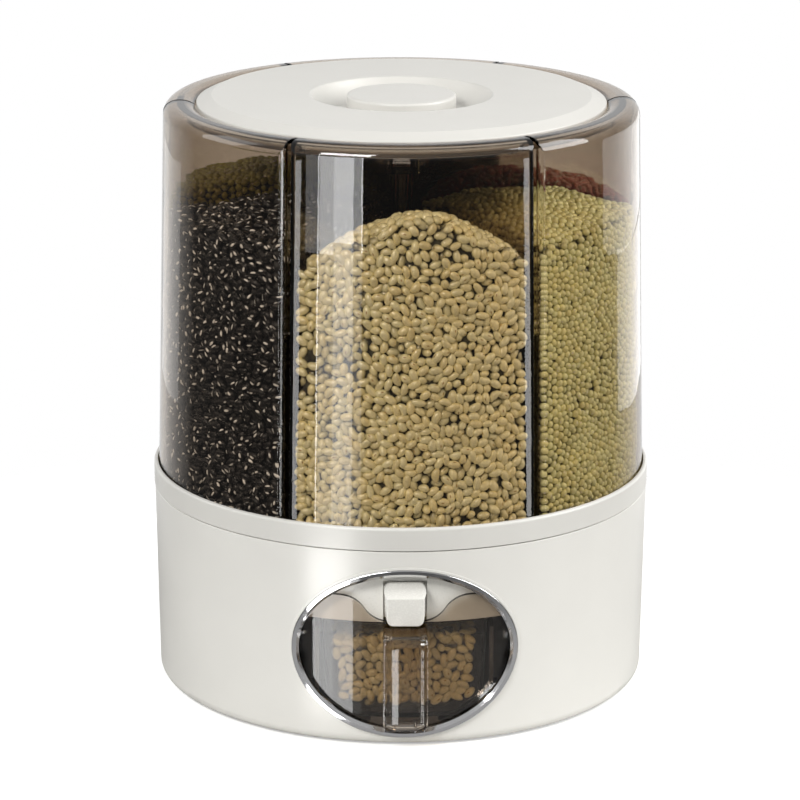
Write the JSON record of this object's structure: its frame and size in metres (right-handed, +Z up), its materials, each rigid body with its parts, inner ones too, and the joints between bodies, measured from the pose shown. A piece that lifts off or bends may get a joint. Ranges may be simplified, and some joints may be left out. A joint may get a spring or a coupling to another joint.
{
  "type": "rotating grain dispenser",
  "caption": "Round table-top grain dispenser: a turning drum of clear wedge bins on a base with a push button and a pull-out measuring cup behind an oval window.",
  "frame": {"origin": "on the drum's axis at the height of the surface that the feet stand on, at the bottom of the centre foot", "axes": "+Z up along the drum's axis, -Y out of the window and the cup, +X to the right as seen from the front"},
  "size_m": [0.2856, 0.3008, 0.34],
  "materials": {
    "housing_white": "satin warm white",
    "hood_white": "satin white",
    "turntable_white": "satin warm white",
    "lid_white": "satin white",
    "button_white": "satin white",
    "inner_plastic": "matt",
    "tray_grey": "matt",
    "bin_smoke": "clear with a smoky tint",
    "post_clear": "clear with a smoky tint",
    "cup_smoke": "clear with a dark smoky tint",
    "bezel_chrome": "bright plated",
    "screw_steel": "plain",
    "spring_steel": "plain",
    "ball_steel": "polished",
    "cage_plastic": "matt",
    "silicone": "soft matt",
    "foot_rubber": "matt"
  },
  "bodies": {
    "base": {"base_housing": "housing_white", "base_floor": "inner_plastic", "rubber_feet": "foot_rubber", "floor_screws": "screw_steel", "window_bezel": "bezel_chrome", "base_deck": "inner_plastic", "deck_screws": "screw_steel", "outlet_gasket": "silicone", "index_leaf": "spring_steel", "outlet_chute": "hood_white", "chute_screws": "screw_steel", "spindle": "screw_steel", "spindle_washer": "screw_steel", "spindle_screw": "screw_steel", "gate_spring": "spring_steel", "cup_tray": "tray_grey"},
    "drum": {"turntable": "turntable_white", "centre_post": "post_clear", "post_cap": "post_clear", "bin_1": "bin_smoke", "bin_2": "bin_smoke", "bin_3": "bin_smoke", "bin_4": "bin_smoke", "bin_5": "bin_smoke", "bin_6": "bin_smoke"},
    "cage": {"ball_cage": "cage_plastic", "bearing_balls": "ball_steel"},
    "lid": {"lid": "lid_white", "lid_knob": "lid_white", "knob_screw": "screw_steel", "lid_seal": "silicone"},
    "cup": {"cup_faceplate": "cup_smoke", "cup_body": "cup_smoke", "cup_handle": "cup_smoke"},
    "button": {"push_button": "button_white", "push_yoke": "inner_plastic"},
    "gate": {"gate_flap": "inner_plastic", "gate_pad": "silicone", "gate_pin": "screw_steel", "gate_cranks": "inner_plastic"}
  },
  "joints": [
    {"name": "drum_spin", "type": "hinge", "parent": "base", "child": "drum", "pos_m": [0, 0, 0.1126], "axis": [0, 0, 1], "continuous": true},
    {"name": "cage_spin", "type": "hinge", "parent": "base", "child": "cage", "pos_m": [0, 0, 0.1123], "axis": [0, 0, 1], "continuous": true},
    {"name": "lid_lift", "type": "slide", "parent": "drum", "child": "lid", "axis": [0, 0, 1], "range_m": [0, 0.06]},
    {"name": "cup_slide", "type": "slide", "parent": "base", "child": "cup", "axis": [0, -1, 0], "range_m": [0, 0.1]},
    {"name": "button_press", "type": "slide", "parent": "base", "child": "button", "axis": [0, 1, 0], "range_m": [0, 0.0085], "stiffness_N_per_m": 400, "springref_m": -0.003},
    {"name": "gate_swing", "type": "hinge", "parent": "base", "child": "gate", "pos_m": [0, -0.081, 0.1052], "axis": [1, 0, 0], "range_deg": [0, 45]}
  ],
  "couplings": [
    {"joint": "cage_spin", "follows": "drum_spin", "ratio": 0.5},
    {"joint": "gate_swing", "follows": "button_press", "rad_per_m": 92.39}
  ]
}
